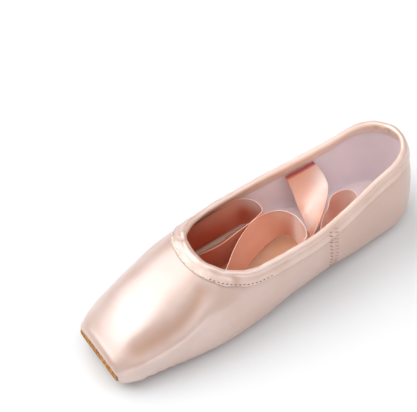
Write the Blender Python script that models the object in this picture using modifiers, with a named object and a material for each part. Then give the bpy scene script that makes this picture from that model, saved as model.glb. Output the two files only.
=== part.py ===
"""A pink satin pointe shoe, standing empty on its sole, with its two ribbons tucked inside.

Metres, +Z up. The toe points to -Y and the heel to +Y. The floor is z = 0, and the origin lies on it
under the middle of the shoe. The form is worked out in the last's own space, as points of (across,
station, height): across is to the wearer's left, station runs from the front of the toe box towards
the heel, and height is above the floor. placed() then gives a point its sway and its heel rake.
"""

import math
from collections import namedtuple

import bmesh
import bpy
import numpy as np

# Driving dimensions of the last
UPPER_LENGTH = 0.230
BALL_WIDTH = 0.078
INSTEP_HEIGHT = 0.0485
HEEL_HEIGHT = 0.0555
ARCH_LIFT = 0.0057
UNDERSIDE_ROLL = 0.0012
PLATFORM_CORNER = 0.004
HEEL_ROUNDING = 1.05
TOE_SWAY = 0.0022
HEEL_SWAY = -0.0017
HEEL_RAKE = 0.0035

# Walls, soles and casing
BOX_WALL = 0.0024
QUARTER_WALL = 0.0016
OUTSOLE_THICKNESS = 0.0020
OUTSOLE_LAP = 0.005
OUTSOLE_END_ROUND = 0.016
INSOLE_THICKNESS = 0.0025
INSOLE_MARGIN = 0.0020
CASING_DEPTH = 0.0080
CASING_THICKNESS = 0.0007
TOE_TIP_THICKNESS = 0.0012
SEAT_GAP = 0.0003

# Ribbons
RIBBON_WIDTH = 0.022
RIBBON_THICKNESS = 0.0007

# How finely the forms are cut
HALF_LINES = 36
LOWER_STEPS = 6
UPPER_STEPS = 9
CASING_STEPS = 3
DENSE = 240
LEAST_STEP = 0.0003
SOLE_STEPS = 34
RIBBON_STEPS = 80

# The last, toe to heel. station is a share of UPPER_LENGTH. width (half width) and tuck (how far the
# wall turns in under the foot) are shares of half of BALL_WIDTH. ridge (top of the closed form) and
# belly (height of the widest line) are shares of INSTEP_HEIGHT, above the bed. square is the power of
# the rounded cross-section, and lift is the underside's height over the bed, a share of ARCH_LIFT.
Section = namedtuple("Section", "station width ridge belly square tuck lift")
SECTIONS = (
    Section(0.00, 0.665, 0.39, 0.13, 2.6, 0.09, 0.15),
    Section(0.05, 0.745, 0.54, 0.16, 2.5, 0.12, 0.08),
    Section(0.10, 0.815, 0.67, 0.20, 2.4, 0.15, 0.03),
    Section(0.20, 0.935, 0.86, 0.26, 2.2, 0.16, 0.00),
    Section(0.31, 1.000, 1.00, 0.29, 2.2, 0.16, 0.00),
    Section(0.40, 0.975, 1.10, 0.29, 2.2, 0.16, 0.10),
    Section(0.50, 0.920, 1.20, 0.29, 2.2, 0.16, 0.65),
    Section(0.62, 0.870, 1.30, 0.29, 2.2, 0.16, 1.00),
    Section(0.75, 0.795, 1.36, 0.30, 2.2, 0.15, 0.35),
    Section(0.87, 0.715, 1.42, 0.30, 2.3, 0.13, 0.00),
    Section(1.00, 0.715, 1.50, 0.31, 2.5, 0.12, 0.00),
)

# The top line, throat to heel: instep and heel are shares of INSTEP_HEIGHT and HEEL_HEIGHT, added up.
TopPoint = namedtuple("TopPoint", "station instep heel")
TOP_LINE = (
    TopPoint(0.310, 1.000, 0.00),
    TopPoint(0.355, 0.930, 0.00),
    TopPoint(0.430, 0.865, 0.00),
    TopPoint(0.580, 0.870, 0.00),
    TopPoint(0.750, 0.615, 0.30),
    TopPoint(0.900, 0.175, 0.80),
    TopPoint(1.000, 0.000, 1.00),
)

# The outsole's half width, a share of half of BALL_WIDTH, at shares of UPPER_LENGTH.
SolePoint = namedtuple("SolePoint", "station width")
OUTSOLE = (
    SolePoint(0.08, 0.42),
    SolePoint(0.20, 0.56),
    SolePoint(0.33, 0.64),
    SolePoint(0.46, 0.49),
    SolePoint(0.60, 0.35),
    SolePoint(0.72, 0.37),
    SolePoint(0.85, 0.43),
    SolePoint(0.96, 0.42),
)

# The ribbons, from the end sewn under the casing to the loose end. Each row is a point of the edge
# that ends up on top: station is a share of UPPER_LENGTH, across a share of the shoe's inside half
# width there, and clear is how high the other edge is off the insole, in ribbon widths. out, back and
# rise are the way from the lower edge to this one.
RibbonPoint = namedtuple("RibbonPoint", "station across clear out back rise")
FAR_RIBBON = (
    RibbonPoint(0.787, -0.960, 1.12, 0.10, 1.00, 0.12),
    RibbonPoint(0.786, -0.910, 0.88, 0.10, 1.00, 0.12),
    RibbonPoint(0.785, -0.720, 0.56, 0.08, 1.00, 0.15),
    RibbonPoint(0.778, -0.450, 0.27, 0.10, 0.95, 0.32),
    RibbonPoint(0.745, -0.180, 0.08, 0.25, 0.70, 0.67),
    RibbonPoint(0.705, 0.020, 0.04, 0.30, 0.35, 0.88),
    RibbonPoint(0.657, 0.370, 0.03, 0.20, 0.10, 0.97),
    RibbonPoint(0.627, 0.620, 0.03, 0.08, 0.00, 1.00),
    RibbonPoint(0.606, 0.755, 0.03, 0.00, 0.00, 1.00),
    RibbonPoint(0.590, 0.640, 0.03, 0.00, 0.00, 1.00),
    RibbonPoint(0.601, 0.480, 0.03, 0.00, 0.00, 1.00),
    RibbonPoint(0.614, 0.240, 0.03, 0.00, 0.00, 1.00),
    RibbonPoint(0.619, -0.020, 0.03, 0.00, 0.00, 1.00),
    RibbonPoint(0.606, -0.215, 0.03, 0.00, 0.00, 1.00),
    RibbonPoint(0.577, -0.330, 0.03, 0.00, 0.00, 1.00),
    RibbonPoint(0.538, -0.360, 0.03, 0.00, 0.00, 1.00),
    RibbonPoint(0.487, -0.240, 0.03, 0.00, 0.00, 1.00),
    RibbonPoint(0.434, -0.030, 0.03, 0.00, 0.00, 1.00),
    RibbonPoint(0.387, 0.215, 0.03, 0.00, 0.00, 1.00),
    RibbonPoint(0.345, 0.370, 0.03, 0.00, 0.00, 1.00),
    RibbonPoint(0.300, 0.400, 0.03, 0.00, 0.00, 1.00),
    RibbonPoint(0.262, 0.250, 0.03, 0.00, 0.00, 1.00),
    RibbonPoint(0.250, 0.000, 0.03, 0.00, 0.00, 1.00),
    RibbonPoint(0.263, -0.250, 0.03, 0.00, 0.00, 1.00),
    RibbonPoint(0.300, -0.410, 0.03, 0.00, 0.00, 1.00),
    RibbonPoint(0.362, -0.440, 0.03, 0.00, 0.00, 1.00),
    RibbonPoint(0.420, -0.425, 0.03, 0.00, 0.00, 1.00),
    RibbonPoint(0.480, -0.470, 0.03, 0.00, 0.00, 1.00),
    RibbonPoint(0.528, -0.530, 0.03, 0.00, 0.00, 1.00),
    RibbonPoint(0.559, -0.640, 0.03, 0.00, 0.00, 1.00),
    RibbonPoint(0.564, -0.790, 0.03, 0.00, 0.00, 1.00),
    RibbonPoint(0.545, -0.905, 0.03, 0.00, 0.00, 1.00),
    RibbonPoint(0.500, -0.930, 0.03, 0.00, 0.00, 1.00),
    RibbonPoint(0.440, -0.930, 0.03, 0.00, 0.00, 1.00),
    RibbonPoint(0.370, -0.930, 0.03, 0.00, 0.00, 1.00),
    RibbonPoint(0.300, -0.880, 0.03, 0.00, 0.00, 1.00),
)
NEAR_RIBBON = (
    RibbonPoint(0.668, 0.950, 0.10, 0.00, 0.00, 1.00),
    RibbonPoint(0.690, 0.930, 0.10, 0.00, 0.00, 1.00),
    RibbonPoint(0.710, 0.820, 0.07, 0.00, 0.00, 1.00),
    RibbonPoint(0.730, 0.660, 0.04, 0.00, 0.00, 1.00),
    RibbonPoint(0.750, 0.530, 0.03, 0.00, 0.00, 1.00),
    RibbonPoint(0.773, 0.440, 0.03, 0.00, 0.00, 1.00),
    RibbonPoint(0.798, 0.375, 0.03, 0.00, 0.00, 1.00),
    RibbonPoint(0.813, 0.240, 0.03, 0.00, 0.00, 1.00),
    RibbonPoint(0.810, 0.090, 0.03, 0.00, 0.00, 1.00),
    RibbonPoint(0.791, -0.010, 0.03, 0.00, 0.00, 1.00),
    RibbonPoint(0.763, -0.020, 0.03, 0.00, 0.00, 1.00),
    RibbonPoint(0.733, 0.060, 0.03, 0.00, 0.00, 1.00),
    RibbonPoint(0.706, 0.230, 0.03, 0.00, 0.00, 1.00),
    RibbonPoint(0.680, 0.470, 0.03, 0.00, 0.00, 1.00),
    RibbonPoint(0.655, 0.700, 0.03, 0.00, 0.00, 1.00),
    RibbonPoint(0.628, 0.860, 0.03, 0.00, 0.00, 1.00),
    RibbonPoint(0.595, 0.920, 0.03, 0.00, 0.00, 1.00),
    RibbonPoint(0.550, 0.930, 0.03, 0.00, 0.00, 1.00),
    RibbonPoint(0.490, 0.930, 0.03, 0.00, 0.00, 1.00),
    RibbonPoint(0.430, 0.925, 0.03, 0.00, 0.00, 1.00),
    RibbonPoint(0.370, 0.910, 0.03, 0.00, 0.00, 1.00),
    RibbonPoint(0.310, 0.860, 0.03, 0.00, 0.00, 1.00),
    RibbonPoint(0.262, 0.720, 0.03, 0.00, 0.00, 1.00),
    RibbonPoint(0.228, 0.480, 0.03, 0.00, 0.00, 1.00),
    RibbonPoint(0.212, 0.200, 0.03, 0.00, 0.00, 1.00),
    RibbonPoint(0.212, -0.100, 0.03, 0.00, 0.00, 1.00),
    RibbonPoint(0.225, -0.380, 0.03, 0.00, 0.00, 1.00),
    RibbonPoint(0.250, -0.600, 0.03, 0.00, 0.00, 1.00),
)

# Colour, roughness and metallic value of each material
Finish = namedtuple("Finish", "colour roughness metallic")
FINISHES = {
    "satin": Finish((0.89, 0.66, 0.58), 0.35, 0.0),
    "ribbon_satin": Finish((0.86, 0.48, 0.38), 0.38, 0.0),
    "sole_leather": Finish((0.62, 0.42, 0.27), 0.65, 0.0),
    "insole_cloth": Finish((0.83, 0.62, 0.50), 0.85, 0.0),
    "suede": Finish((0.60, 0.36, 0.17), 0.90, 0.0),
}

HALF_BALL = BALL_WIDTH / 2
BED = OUTSOLE_THICKNESS + SEAT_GAP
THROAT = TOP_LINE[0].station * UPPER_LENGTH
HEEL_HALF_WIDTH = SECTIONS[-1].width * HALF_BALL
HEEL_LENGTH = HEEL_ROUNDING * HEEL_HALF_WIDTH
HEEL_CENTRE = UPPER_LENGTH - HEEL_LENGTH


def smooth(table, column, station, unit=1.0):
    """A column of a table at stations in metres, as a cubic that never overshoots its rows."""
    knots = np.array([row.station for row in table]) * UPPER_LENGTH
    values = np.array([getattr(row, column) for row in table]) * unit
    steps = np.diff(knots)
    slopes = np.diff(values) / steps
    tangents = np.concatenate([slopes[:1], np.zeros(len(knots) - 2), slopes[-1:]])
    for i in range(1, len(knots) - 1):
        if slopes[i - 1] * slopes[i] > 0:
            before = 2 * steps[i] + steps[i - 1]
            after = steps[i] + 2 * steps[i - 1]
            tangents[i] = (before + after) / (before / slopes[i - 1] + after / slopes[i])
    x = np.clip(np.asarray(station, float), knots[0], knots[-1])
    i = np.clip(np.searchsorted(knots, x, side="right") - 1, 0, len(knots) - 2)
    t = (x - knots[i]) / steps[i]
    return (
        (1 + 2 * t) * (1 - t) ** 2 * values[i]
        + t * (1 - t) ** 2 * steps[i] * tangents[i]
        + t * t * (3 - 2 * t) * values[i + 1]
        + t * t * (t - 1) * steps[i] * tangents[i + 1]
    )


def half_width(station):
    return smooth(SECTIONS, "width", station, HALF_BALL)


def underside(station):
    """Height of the upper's underside, where it lies on the outsole."""
    return BED + smooth(SECTIONS, "lift", station, ARCH_LIFT)


def belly(station):
    return underside(station) + smooth(SECTIONS, "belly", station, INSTEP_HEIGHT)


def ridge(station):
    return BED + smooth(SECTIONS, "ridge", station, INSTEP_HEIGHT)


def top_line(station):
    return (
        BED
        + smooth(TOP_LINE, "instep", station, INSTEP_HEIGHT)
        + smooth(TOP_LINE, "heel", station, HEEL_HEIGHT)
    )


def wall_at(station):
    """The wall is stiff and thick round the toe box, and thins to the quarters behind the ball."""
    share = np.clip((np.asarray(station) / UPPER_LENGTH - 0.25) / 0.20, 0, 1)
    share = share * share * (3 - 2 * share)
    return BOX_WALL + (QUARTER_WALL - BOX_WALL) * share


def edge_drop(station):
    """How far the rounded edge of the platform pulls the form in, near its front."""
    back = np.clip(PLATFORM_CORNER - np.asarray(station, float), 0, PLATFORM_CORNER)
    return PLATFORM_CORNER - np.sqrt(PLATFORM_CORNER**2 - back**2)


def crown(across, station):
    """Height of the closed form above its widest line, over a point of the plan."""
    across, station = np.broadcast_arrays(np.abs(across), np.asarray(station, float))
    drop = edge_drop(station)
    side = across / (half_width(station) - drop)
    heel = np.hypot(across / HEEL_HALF_WIDTH, (station - HEEL_CENTRE) / HEEL_LENGTH)
    reach = np.clip(np.where(station > HEEL_CENTRE, heel, side), 0, 1)
    power = smooth(SECTIONS, "square", station)
    low = belly(station)
    return low + (ridge(station) - drop - low) * (1 - reach**power) ** (1 / power)


def rim_reach(station):
    """Share of the half width at which the closed form has the top line's height."""
    low = belly(station)
    rise = np.clip((top_line(station) - low) / (ridge(station) - low), 0, 1)
    power = smooth(SECTIONS, "square", station)
    return (1 - rise**power) ** (1 / power)


class Line:
    """Half of a closed outline in plan, from its front middle to its back middle."""

    def __init__(self, points):
        self.points = np.array(points, float)
        self.arc = np.concatenate(
            [[0], np.cumsum(np.linalg.norm(np.diff(self.points[:, :2], axis=0), axis=1))]
        )

    def arc_at(self, station):
        """Distance along the line at which it reaches a station."""
        return float(np.interp(station, self.points[:, 1], self.arc))

    def at(self, arcs):
        columns = [np.interp(arcs, self.arc, c) for c in self.points.T]
        return np.stack(columns, axis=1)


def footprint():
    """The widest outline of the upper: platform, rounded corner, side and heel."""
    points = [(x, 0.0) for x in np.linspace(0, half_width(0) - PLATFORM_CORNER, 20)]
    for angle in np.linspace(0, math.pi / 2, 20)[1:]:
        station = PLATFORM_CORNER * (1 - math.cos(angle))
        pulled = PLATFORM_CORNER * (1 - math.sin(angle))
        points.append((float(half_width(station)) - pulled, station))
    for station in np.linspace(PLATFORM_CORNER, HEEL_CENTRE, DENSE)[1:]:
        points.append((float(half_width(station)), station))
    for angle in np.linspace(0, math.pi / 2, 60)[1:]:
        across = HEEL_HALF_WIDTH * math.cos(angle)
        points.append((across, HEEL_CENTRE + HEEL_LENGTH * math.sin(angle)))
    return Line(points)


def rim():
    """The top line in plan, from the middle of the throat to the middle of the heel."""
    points = []
    for share in np.linspace(0, 1, DENSE) ** 2:
        station = THROAT + share * (HEEL_CENTRE - THROAT)
        points.append((float(rim_reach(station) * half_width(station)), station))
    for angle in np.linspace(0, math.pi / 2, 60)[1:]:
        reach = 1.0
        for _ in range(20):
            reach = float(rim_reach(HEEL_CENTRE + reach * HEEL_LENGTH * math.sin(angle)))
        across = reach * HEEL_HALF_WIDTH * math.cos(angle)
        points.append((across, HEEL_CENTRE + reach * HEEL_LENGTH * math.sin(angle)))
    return Line(points)


def sole_half_width(station, inset=0.0):
    """Half width of the outsole, drawn in by an inset, with both of its ends round."""
    start = OUTSOLE[0].station * UPPER_LENGTH + inset
    end = OUTSOLE[-1].station * UPPER_LENGTH - inset
    radius = OUTSOLE_END_ROUND - inset
    near = np.clip(np.minimum(station - start, end - station) / radius, 0, 1)
    wide = smooth(OUTSOLE, "width", station, HALF_BALL) - inset
    return wide * np.sqrt(1 - (1 - near) ** 2)


def sole_outline(inset):
    """The outsole's outline drawn in by an inset: the edge of the opening under the upper."""
    start = OUTSOLE[0].station * UPPER_LENGTH + inset
    end = OUTSOLE[-1].station * UPPER_LENGTH - inset
    turns = np.linspace(0, math.pi, DENSE)
    stations = start + (end - start) * (1 - np.cos(turns)) / 2
    return Line([(float(sole_half_width(s, inset)), s) for s in stations])


def paired(outer, inner, arcs, join):
    """Points of an inner line that belong to arcs of an outer one.

    Behind the join they share a station, and round the heel they share their part of its arc.
    """
    join_out, join_in = outer.arc_at(join), inner.arc_at(join)
    heel_out, heel_in = outer.arc_at(HEEL_CENTRE), inner.arc_at(HEEL_CENTRE)
    stations = outer.at(arcs)[:, 1]
    found = []
    end_slope = min(join_out / join_in, 2.8)
    for arc, station in zip(arcs, stations):
        if arc < join_out:
            t = arc / join_out
            eased = t * (1 - t) ** 2 * 0.5 + t * t * (3 - 2 * t) + t * t * (t - 1) * end_slope
            found.append(eased * join_in)
        elif arc < heel_out:
            found.append(inner.arc_at(station))
        else:
            share = (arc - heel_out) / (outer.arc[-1] - heel_out)
            found.append(heel_in + share * (inner.arc[-1] - heel_in))
    return inner.at(found)


def even_steps(points, count):
    """Points along a polyline, spaced by its length and by how much it turns, in equal parts.

    The first three columns are the place; any others are carried along.
    """
    legs = np.diff(points[:, :3], axis=0)
    lengths = np.linalg.norm(legs, axis=1)
    ways = legs / lengths[:, None]
    turns = np.arccos(np.clip((ways[1:] * ways[:-1]).sum(1), -1, 1))
    bends = np.concatenate([[0], turns / 2]) + np.concatenate([turns / 2, [0]])
    pace = lengths / lengths.sum() + bends / max(bends.sum(), 1e-9)
    done = np.concatenate([[0], np.cumsum(pace)]) / pace.sum()
    wanted = np.linspace(0, 1, count)
    return np.stack([np.interp(wanted, done, c) for c in points.T], axis=1)


def spaced(points, least):
    """The points of a polyline that are at least a distance apart, both ends kept."""
    kept = [points[0]]
    for point in points[1:-1]:
        if np.linalg.norm(point - kept[-1]) >= least:
            kept.append(point)
    if len(kept) > 1 and np.linalg.norm(points[-1] - kept[-1]) < least:
        kept.pop()
    return np.array(kept + [points[-1]])


def lower_path(edge, opening):
    """From the opening under the foot, out along the underside and up to the widest line."""
    tuck = smooth(SECTIONS, "tuck", edge[1], HALF_BALL)
    inward = opening - edge
    distance = np.linalg.norm(inward)
    inward = inward / distance
    low, wide = underside(edge[1]), belly(edge[1])
    points = []
    for share in np.linspace(1, 0, 14, endpoint=False):
        away = tuck + (distance - tuck) * share
        plan = edge + inward * away
        points.append((*plan, float(underside(plan[1])) + UNDERSIDE_ROLL * (1 - share) ** 2))
    for angle in np.linspace(0, math.pi / 2, 24):
        plan = edge + inward * tuck * (1 - math.sin(angle))
        base = float(underside(plan[1])) + UNDERSIDE_ROLL
        points.append((*plan, base + (float(wide) - base) * (1 - math.cos(angle))))
    return np.array(points)


def upper_path(edge, top):
    """From the widest line up the wall, and over the vamp where there is one, to the rim."""
    wide = float(belly(edge[1]))
    points = [(*edge, z) for z in np.linspace(wide, float(crown(*edge)), 12)]
    for share in np.linspace(0, 1, DENSE)[1:] ** 2.2:
        plan = edge + (top - edge) * share
        points.append((*plan, float(crown(plan[0], plan[1]))))
    return spaced(np.array(points), LEAST_STEP)


def wall_lines():
    """Dense lines of the outer wall for half of the shoe: from the sole's opening to the rim."""
    edge_line = footprint()
    arcs = np.linspace(0, edge_line.arc[-1], HALF_LINES + 1)
    edges = edge_line.at(arcs)
    tops = paired(edge_line, rim(), arcs, 0.47 * UPPER_LENGTH)
    openings = paired(edge_line, sole_outline(OUTSOLE_LAP), arcs, 0.30 * UPPER_LENGTH)
    lines = []
    for edge, top, opening in zip(edges, tops, openings):
        lines.append((lower_path(edge, opening), upper_path(edge, top)))
    return lines


def ring_of(half):
    """A full ring of lines from those of the half with across >= 0, ends on the middle plane."""
    half = half.copy()
    half[0, ..., 0] = 0
    half[-1, ..., 0] = 0
    mirrored = half[1:-1][::-1] * np.array([-1, 1, 1])
    return np.concatenate([half, mirrored])


def outward(grid):
    """Unit normals of a ring of lines that runs from underneath to the rim."""
    along = np.roll(grid, -1, axis=0) - np.roll(grid, 1, axis=0)
    up = np.gradient(grid, axis=1)
    normal = np.cross(along, up)
    return normal / np.linalg.norm(normal, axis=2, keepdims=True)


def placed(points):
    """Points of the last's space with the shoe's left-right curve and the rake of its heel."""
    points = np.array(points, float)
    station = points[..., 1] / UPPER_LENGTH
    front = np.clip(1 - station / 0.4, 0, None)
    back = np.clip((station - 0.4) / 0.6, 0, None)
    points[..., 0] += TOE_SWAY * front**2 + HEEL_SWAY * back**2
    heel = np.clip((station - 0.75) / 0.25, 0, 1) ** 2
    points[..., 1] += HEEL_RAKE * heel * ((points[..., 2] - BED) / HEEL_HEIGHT - 0.5)
    return points


def material(name):
    """A Principled material with the finish of that name, made once."""
    found = bpy.data.materials.get(name)
    if found:
        return found
    made = bpy.data.materials.new(name)
    made.use_nodes = True
    shader = made.node_tree.nodes["Principled BSDF"]
    shader.inputs["Base Color"].default_value = (*FINISHES[name].colour, 1)
    shader.inputs["Roughness"].default_value = FINISHES[name].roughness
    shader.inputs["Metallic"].default_value = FINISHES[name].metallic
    return made


def add_piece(name, mesh, finish, shoe):
    """A named object in the shoe's collection, parented to the shoe's empty."""
    piece = bpy.data.objects.new(name, mesh)
    bpy.data.collections["pointe_shoe"].objects.link(piece)
    piece.parent = shoe
    mesh.materials.append(material(finish))
    return piece


def skin_mesh(name, grid, closed_u=True, closed_v=False, capped=False):
    """Quads between neighbouring lines of a grid of points, (line, step, 3)."""
    shape = bmesh.new()
    rows = [[shape.verts.new(point) for point in line] for line in grid]
    if closed_u:
        rows.append(rows[0])
    for line, following in zip(rows, rows[1:]):
        steps = list(zip(line, line[1:], following, following[1:]))
        if closed_v:
            steps.append((line[-1], line[0], following[-1], following[0]))
        for a, b, c, d in steps:
            shape.faces.new((a, c, d, b))
    if capped:
        shape.faces.new(rows[0])
        shape.faces.new(rows[-1][::-1])
    mesh = bpy.data.meshes.new(name)
    shape.to_mesh(mesh)
    shape.free()
    return mesh


def round_off(mesh, degrees=40):
    mesh.shade_smooth()
    mesh.set_sharp_from_angle(angle=math.radians(degrees))


def up_to_rim(line):
    """Distance of each point of a wall line from the rim, along the line."""
    legs = np.linalg.norm(np.diff(line, axis=0), axis=1)
    return np.concatenate([np.cumsum(legs[::-1])[::-1], [0]])


def casing_face(line):
    """Points of a wall line that the casing covers, from its lower edge to the rim."""
    left = up_to_rim(line)
    depths = np.linspace(CASING_DEPTH, 0, CASING_STEPS + 1)
    return np.stack([np.interp(-depths, -left, c) for c in line.T], axis=1)


def without_casing(line):
    """A wall line up to the casing's lower edge."""
    below = line[up_to_rim(line) > CASING_DEPTH + LEAST_STEP]
    return np.concatenate([below, casing_face(line)[:1]])


def add_upper(shoe, lines):
    """The upper: one hollow wall, open at the rim and under the foot."""
    half = []
    for lower, upper in lines:
        below = even_steps(lower, LOWER_STEPS + 1)
        above = even_steps(without_casing(upper), UPPER_STEPS + 1)
        half.append(np.concatenate([below, above[1:], casing_face(upper)[1:]]))
    grid = ring_of(np.array(half))
    mesh = skin_mesh("upper", placed(grid))
    round_off(mesh)
    piece = add_piece("upper", mesh, "satin", shoe)
    group = piece.vertex_groups.new(name="wall")
    for index, station in enumerate(grid[..., 1].ravel()):
        group.add([index], float(wall_at(station)) / BOX_WALL, "REPLACE")
    wall = piece.modifiers.new("wall", "SOLIDIFY")
    wall.thickness = BOX_WALL
    wall.offset = -1
    wall.vertex_group = "wall"
    return piece




def add_casing(shoe, lines):
    """The drawstring casing: a folded band over the rim, down both faces of the wall."""
    face = ring_of(np.array([casing_face(upper) for _, upper in lines]))
    normal = outward(face)
    walls = wall_at(face[..., 1])[..., None]
    near, far = SEAT_GAP, SEAT_GAP + CASING_THICKNESS

    up = face[:, -1] - face[:, -2]
    up = up / np.linalg.norm(up, axis=1, keepdims=True)
    middle = face[:, -1] - normal[:, -1] * walls[:, -1] / 2

    def roll(reach, angles):
        """Points over the rim, from its outer face to its inner face."""
        radius = walls[:, -1] / 2 + reach
        turned = [normal[:, -1] * math.cos(a) + up * math.sin(a) for a in angles]
        return [middle + radius * way for way in turned]

    outer_turns = np.linspace(0, math.pi, 6)
    inner_turns = np.linspace(math.pi, 0, 4)
    rising, falling = range(CASING_STEPS), range(CASING_STEPS)[::-1]
    section = [face[:, i] + normal[:, i] * far for i in rising]
    section += roll(far, outer_turns)
    section += [face[:, i] - normal[:, i] * (walls[:, i] + far) for i in falling]
    section += [face[:, i] - normal[:, i] * (walls[:, i] + near) for i in rising]
    section += roll(near, inner_turns)
    section += [face[:, i] + normal[:, i] * near for i in falling]
    grid = np.stack(section, axis=1)
    mesh = skin_mesh("casing", placed(grid), closed_v=True)
    round_off(mesh, 60)
    return add_piece("casing", mesh, "satin", shoe)


def plate_mesh(name, stations, widths, bottoms, tops):
    """A plate from cross strips: each station has a half width, a bottom and a top."""
    grid = []
    for s, w, low, high in zip(stations, widths, bottoms, tops):
        grid.append([(-w, s, low), (w, s, low), (w, s, high), (-w, s, high)])
    return skin_mesh(name, placed(grid), closed_u=False, closed_v=True, capped=True)


def edge_bevel(piece, width):
    bevel = piece.modifiers.new("edge", "BEVEL")
    bevel.width = width
    bevel.segments = 1
    bevel.limit_method = "ANGLE"
    bevel.angle_limit = math.radians(50)


def add_outsole(shoe):
    """The leather outsole, flat on the floor under the ball and the heel, and lifted at the arch."""
    start, end = OUTSOLE[0].station * UPPER_LENGTH, OUTSOLE[-1].station * UPPER_LENGTH
    turns = np.linspace(0.12, math.pi - 0.12, SOLE_STEPS)
    stations = start + (end - start) * (1 - np.cos(turns)) / 2
    tops = underside(stations) - SEAT_GAP
    widths = sole_half_width(stations)
    mesh = plate_mesh("outsole", stations, widths, tops - OUTSOLE_THICKNESS, tops)
    piece = add_piece("outsole", mesh, "sole_leather", shoe)
    edge_bevel(piece, 0.25 * OUTSOLE_THICKNESS)
    return piece


def insole_half_width(station):
    """Half width of the insole: the footprint less the tuck, the margin and round ends."""
    inset = insole_inset()
    start, end = inset, UPPER_LENGTH - inset
    side = half_width(station) - inset
    front = np.clip((station - start) / inset, 0, 1)
    heel = np.clip((station - HEEL_CENTRE) / (end - HEEL_CENTRE), 0, 1)
    return side * np.sqrt(1 - heel**2) * (1 - 0.25 * (1 - front) ** 2)


def insole_inset():
    """The insole's edge lies this far inside the footprint."""
    tuck = max(row.tuck for row in SECTIONS) * HALF_BALL
    return tuck + INSOLE_MARGIN


def insole_top(station):
    """Height of the insole's upper face."""
    base = underside(station) + UNDERSIDE_ROLL + wall_at(station) + SEAT_GAP
    return base + INSOLE_THICKNESS


def add_insole(shoe):
    """The insole board with its sock, on the turned-in margin of the upper."""
    start, end = insole_inset(), UPPER_LENGTH - insole_inset()
    stations = start + (end - start) * np.sin(np.linspace(0, math.pi / 2 - 0.10, SOLE_STEPS))
    tops = insole_top(stations)
    widths = insole_half_width(stations)
    mesh = plate_mesh("insole", stations, widths, tops - INSOLE_THICKNESS, tops)
    piece = add_piece("insole", mesh, "insole_cloth", shoe)
    edge_bevel(piece, 0.2 * INSOLE_THICKNESS)
    return piece


def add_toe_tip(shoe):
    """The suede tip on the platform: a plate of the platform's own outline."""
    low = float(underside(0)) + UNDERSIDE_ROLL
    high = float(ridge(0)) - PLATFORM_CORNER * 0.5
    middle, tall = (low + high) / 2, (high - low) / 2
    wide = float(half_width(0)) - PLATFORM_CORNER * 0.6
    power = 2 / SECTIONS[0].square
    front = -SEAT_GAP - TOE_TIP_THICKNESS
    backs, fronts = [], []
    for angle in np.linspace(0, 2 * math.pi, 40, endpoint=False):
        c, s = math.cos(angle), math.sin(angle)
        x = wide * math.copysign(abs(c) ** power, c)
        z = middle + tall * math.copysign(abs(s) ** power, s)
        backs.append((x, -SEAT_GAP, z))
        fronts.append((x, front, z))
    mesh = skin_mesh("toe_tip", placed([fronts, backs]), closed_u=False, closed_v=True, capped=True)
    piece = add_piece("toe_tip", mesh, "suede", shoe)
    edge_bevel(piece, 0.4 * TOE_TIP_THICKNESS)
    return piece


def inside_half_width(station, height):
    """Half width of the shoe's inside at a height above its widest line."""
    low, power = belly(station), smooth(SECTIONS, "square", station)
    rise = np.clip((height - low) / (ridge(station) - low), 0, 1)
    wide = half_width(station) * (1 - rise**power) ** (1 / power)
    return wide - 1.1 * wall_at(station)


def ribbon_edge(row):
    """The place of a row's upper edge, followed by the way up to it across the ribbon."""
    across_way = np.array([row.out, row.back, row.rise])
    across_way = across_way / np.linalg.norm(across_way)
    station = row.station * UPPER_LENGTH
    resting = float(insole_top(station - RIBBON_WIDTH * across_way[1]))
    height = resting + RIBBON_WIDTH * (row.clear + across_way[2])
    across = row.across * float(inside_half_width(station, height))
    return np.array([across, station, height, *across_way])


def flowing(rows, count):
    """A smooth curve through rows of numbers, whose first three are a place."""
    rows = np.array(rows)
    legs = np.linalg.norm(np.diff(rows[:, :3], axis=0), axis=1)
    knots = np.concatenate([[0], np.cumsum(legs)])
    tangents = np.gradient(rows, knots, axis=0)
    curve = []
    for x in np.linspace(0, knots[-1], count):
        i = int(np.clip(np.searchsorted(knots, x, side="right") - 1, 0, len(legs) - 1))
        t = (x - knots[i]) / legs[i]
        before = (1 + 2 * t) * rows[i] + t * legs[i] * tangents[i]
        after = (3 - 2 * t) * rows[i + 1] - (1 - t) * legs[i] * tangents[i + 1]
        curve.append((1 - t) ** 2 * before + t * t * after)
    return np.array(curve)


def strip_mesh(name, grid):
    """A thin closed strip, whose two faces are cut along the same diagonals wherever it twists."""
    shape = bmesh.new()
    rows = [[shape.verts.new(point) for point in line] for line in grid]
    for (a, b, c, d), (e, f, g, h) in zip(rows, rows[1:]):
        for corners in ((a, e, f), (a, f, b), (b, f, g, c), (c, g, d), (g, h, d), (d, h, e, a)):
            shape.faces.new(corners)
    shape.faces.new(rows[0])
    shape.faces.new(rows[-1][::-1])
    mesh = bpy.data.meshes.new(name)
    shape.to_mesh(mesh)
    shape.free()
    return mesh


def add_ribbon(name, shoe, rows):
    """A ribbon as a thin closed strip along the table's path."""
    path = even_steps(flowing([ribbon_edge(row) for row in rows], 6 * RIBBON_STEPS), RIBBON_STEPS)
    top = path[:, :3]
    across = path[:, 3:] / np.linalg.norm(path[:, 3:], axis=1, keepdims=True)
    bottom = top - RIBBON_WIDTH * across
    along = np.gradient((top + bottom) / 2, axis=0)
    face = np.cross(across, along)
    half = RIBBON_THICKNESS / 2 * face / np.linalg.norm(face, axis=1, keepdims=True)
    grid = np.stack([top + half, bottom + half, bottom - half, top - half], axis=1)
    mesh = strip_mesh(name, placed(grid))
    round_off(mesh)
    return add_piece(name, mesh, "ribbon_satin", shoe)


def clear_scene():
    for obj in list(bpy.data.objects):
        bpy.data.objects.remove(obj, do_unlink=True)


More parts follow.
